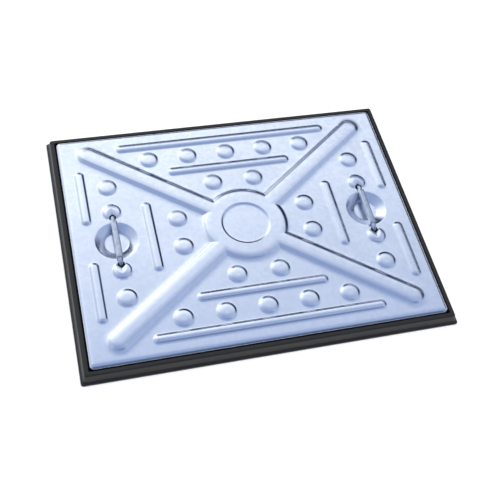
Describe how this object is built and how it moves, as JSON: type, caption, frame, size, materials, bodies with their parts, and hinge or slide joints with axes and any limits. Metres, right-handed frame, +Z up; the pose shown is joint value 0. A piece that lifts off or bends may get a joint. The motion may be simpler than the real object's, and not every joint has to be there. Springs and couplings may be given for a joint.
{
  "type": "manhole cover",
  "caption": "Rectangular pressed steel access cover with drop-down lifting handles, seated in a slim moulded plastic frame.",
  "frame": {"origin": "centre of the frame's underside, on the ground", "axes": "+X along the long side, +Y along the short side, +Z up"},
  "size_m": [0.652, 0.502, 0.0325],
  "materials": {
    "frame_plastic": "black moulded polypropylene, fine grain, satin",
    "galvanised_sheet": "bright hot-dip galvanised sheet, satin, faint fine spangle",
    "zinc_rod": "zinc plated steel rod, satin"
  },
  "bodies": {
    "frame": {"frame": "frame_plastic"},
    "cover": {"cover_plate": "galvanised_sheet", "stiffener_left": "galvanised_sheet", "stiffener_right": "galvanised_sheet"},
    "handle_left": {"handle_left": "zinc_rod", "handle_washer_left_front": "zinc_rod", "handle_washer_left_back": "zinc_rod"},
    "handle_right": {"handle_right": "zinc_rod", "handle_washer_right_front": "zinc_rod", "handle_washer_right_back": "zinc_rod"}
  },
  "joints": [
    {"name": "cover_lift", "type": "slide", "parent": "frame", "child": "cover", "axis": [0, 0, 1], "range_m": [0, 0.06]},
    {"name": "handle_left_lift", "type": "slide", "parent": "cover", "child": "handle_left", "axis": [0, 0, 1], "range_m": [0, 0.012]},
    {"name": "handle_right_lift", "type": "slide", "parent": "cover", "child": "handle_right", "axis": [0, 0, 1], "range_m": [0, 0.012]}
  ]
}
